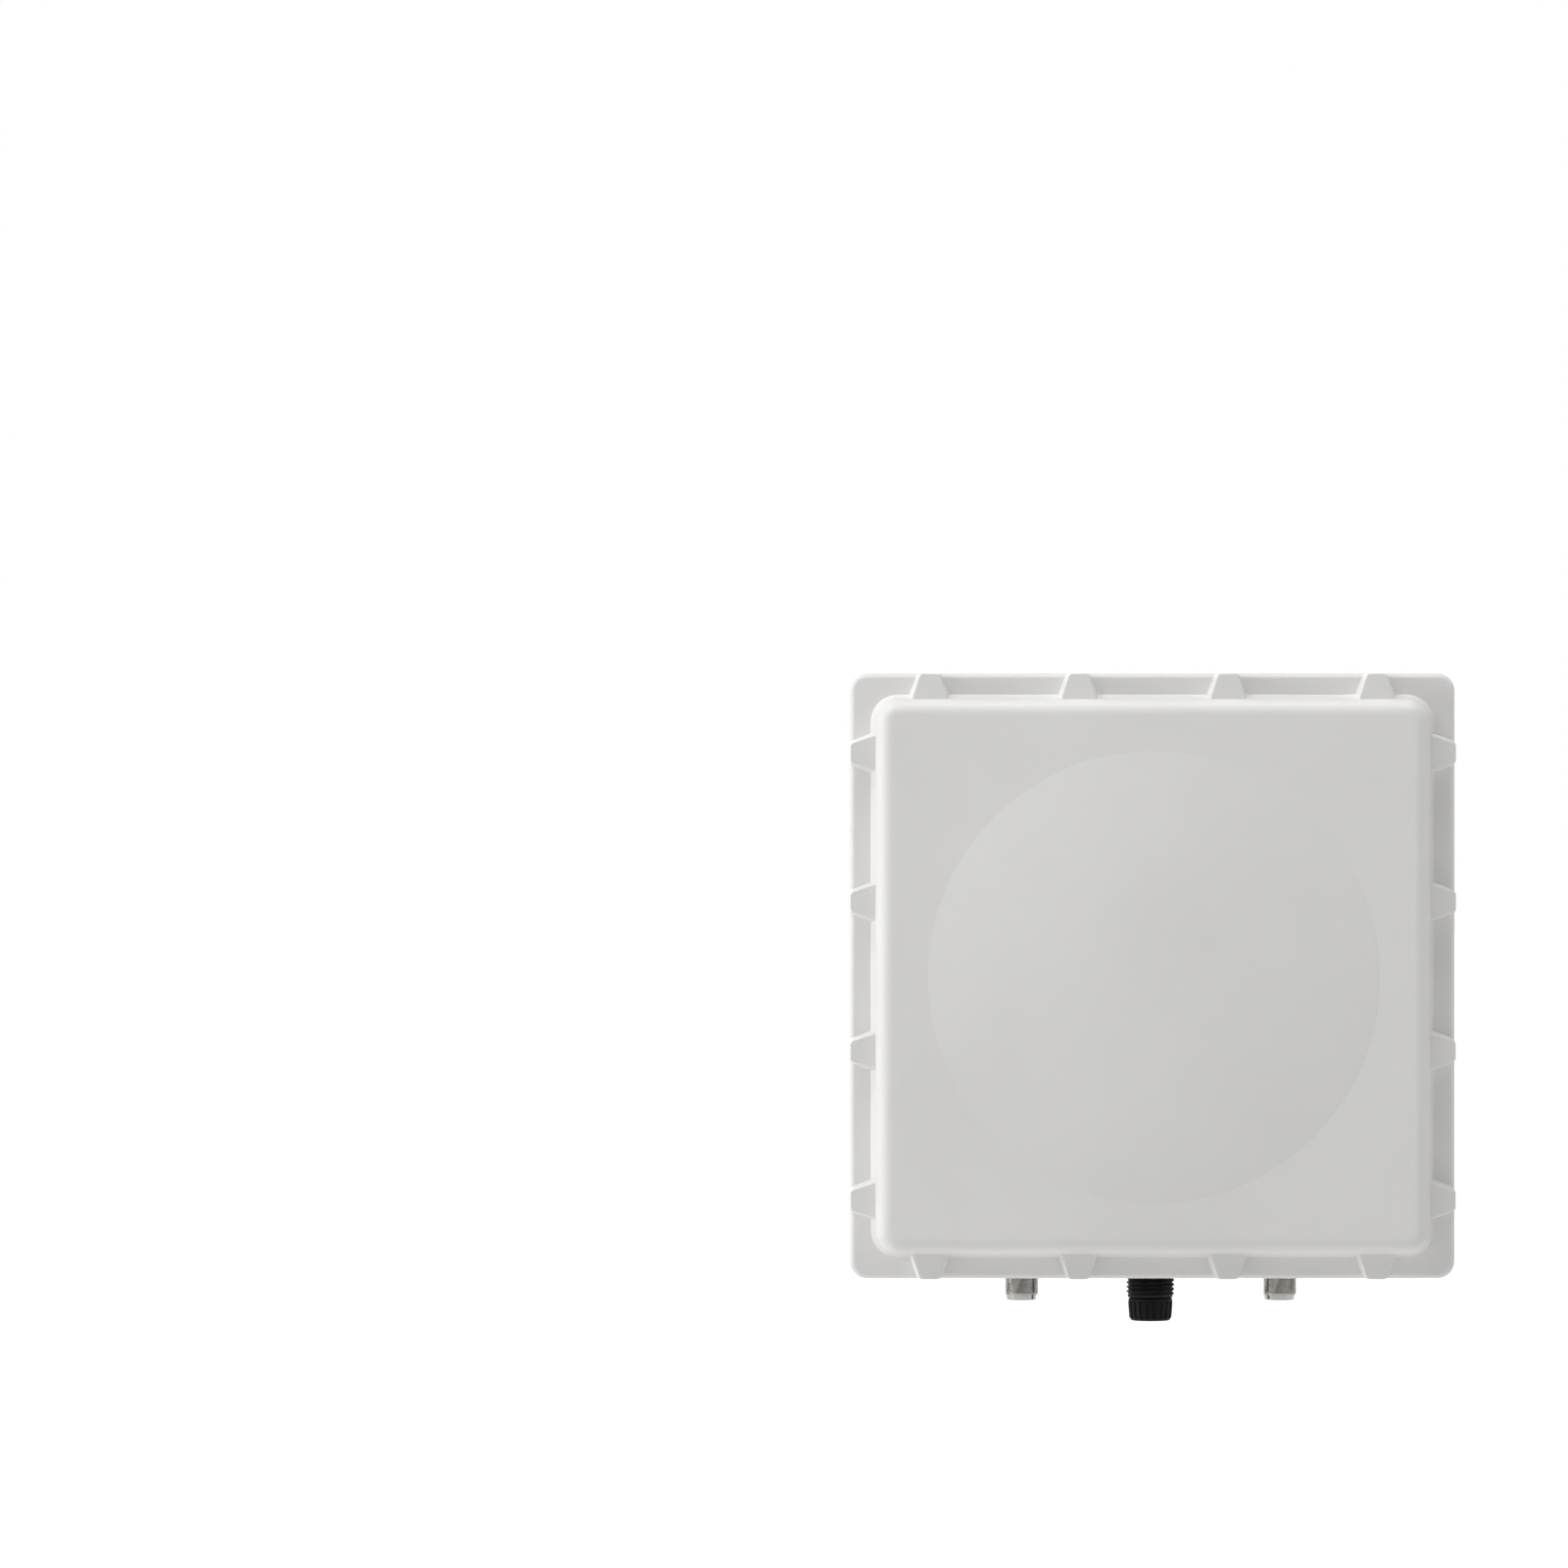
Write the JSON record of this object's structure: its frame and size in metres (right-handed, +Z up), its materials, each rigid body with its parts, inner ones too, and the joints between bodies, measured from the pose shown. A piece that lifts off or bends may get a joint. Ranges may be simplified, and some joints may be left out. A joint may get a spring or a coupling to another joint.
{
  "type": "outdoor wireless bridge",
  "caption": "Square outdoor radio unit with a domed flat-panel antenna cover, ribbed flange, RF sockets and cable gland, on a tilting mast bracket.",
  "frame": {"origin": "on the mast's axis, level with the centre of the square plate", "axes": "+X to the right seen from the front, +Z up along the mast, front face looking along -Y"},
  "size_m": [0.28, 0.2268, 0.3006],
  "materials": {
    "cover_plastic": "fine moulded texture, off-white, UV-stable plastic",
    "housing_coating": "die-cast aluminium under a light grey powder coat with fine orange peel, not bare metal",
    "seal_rubber": "black silicone cord, dull",
    "plug_rubber": "black moulded rubber, dull",
    "stainless_screw": "plain stainless steel, lightly polished",
    "reflector_sheet": "mill-finish aluminium sheet",
    "circuit_board": "green solder mask over copper traces",
    "shield_tinplate": "tin-plated pressed steel",
    "thermal_silicone": "soft blue-grey silicone pad",
    "port_nickel": "bright nickel plate over turned brass",
    "port_insulator": "white fluoropolymer",
    "contact_gold": "gold plate",
    "coax_copper": "tinned copper braid, hand-formed",
    "gland_nylon": "black glass-filled nylon, satin",
    "vent_plastic": "black moulded plastic, satin",
    "bracket_zinc": "hot-dip galvanised sheet, dull spangle",
    "bolt_zinc": "bright zinc-plated steel"
  },
  "bodies": {
    "mast_side": {"mast_bracket": "bracket_zinc", "pivot_bolt": "bolt_zinc", "pivot_nut": "bolt_zinc", "lock_bolt_left": "bolt_zinc", "lock_bolt_right": "bolt_zinc", "u_bolt_upper": "bolt_zinc", "u_bolt_lower": "bolt_zinc", "u_bolt_nut_1": "bolt_zinc", "u_bolt_nut_2": "bolt_zinc", "u_bolt_nut_3": "bolt_zinc", "u_bolt_nut_4": "bolt_zinc"},
    "radio_unit": {"radome": "cover_plastic", "rear_housing": "housing_coating", "cover_seal": "seal_rubber", "cover_screw_01": "stainless_screw", "cover_screw_02": "stainless_screw", "cover_screw_03": "stainless_screw", "cover_screw_04": "stainless_screw", "cover_screw_05": "stainless_screw", "cover_screw_06": "stainless_screw", "cover_screw_07": "stainless_screw", "cover_screw_08": "stainless_screw", "cover_screw_09": "stainless_screw", "cover_screw_10": "stainless_screw", "cover_screw_11": "stainless_screw", "cover_screw_12": "stainless_screw", "cover_screw_13": "stainless_screw", "cover_screw_14": "stainless_screw", "cover_screw_15": "stainless_screw", "cover_screw_16": "stainless_screw", "bracket_screw_1": "stainless_screw", "bracket_screw_2": "stainless_screw", "bracket_screw_3": "stainless_screw", "bracket_screw_4": "stainless_screw", "antenna_reflector": "reflector_sheet", "antenna_board": "circuit_board", "radio_board": "circuit_board", "rf_shield_can": "shield_tinplate", "modem_shield_can": "shield_tinplate", "ethernet_jack": "shield_tinplate", "thermal_pad": "thermal_silicone", "rf_socket_left": "port_nickel", "rf_socket_right": "port_nickel", "rf_nut_left": "port_nickel", "rf_nut_right": "port_nickel", "rf_insulator_left": "port_insulator", "rf_insulator_right": "port_insulator", "rf_contact_left": "contact_gold", "rf_contact_right": "contact_gold", "rf_pigtail_left": "coax_copper", "rf_pigtail_right": "coax_copper", "port_shell": "gland_nylon", "port_lock_nut": "gland_nylon", "pressure_vent": "vent_plastic", "unit_bracket": "bracket_zinc", "ground_screw": "bolt_zinc"},
    "gland_core": {"gland_seal": "seal_rubber", "blanking_plug": "plug_rubber"},
    "gland_ring": {"gland_nut": "gland_nylon"}
  },
  "joints": [
    {"name": "tilt", "type": "hinge", "parent": "mast_side", "child": "radio_unit", "pos_m": [0, -0.075, 0], "axis": [1, 0, 0], "range_deg": [-30, 30]},
    {"name": "gland_nut_travel", "type": "slide", "parent": "radio_unit", "child": "gland_core", "axis": [0, 0, -1], "range_m": [0, 0.0075]},
    {"name": "gland_nut_turn", "type": "hinge", "parent": "gland_core", "child": "gland_ring", "pos_m": [0, -0.141, 0], "axis": [0, 0, -1], "range_deg": [0, 1800]}
  ],
  "couplings": [
    {"joint": "gland_nut_travel", "follows": "gland_nut_turn", "m_per_rad": 0.0002387}
  ]
}
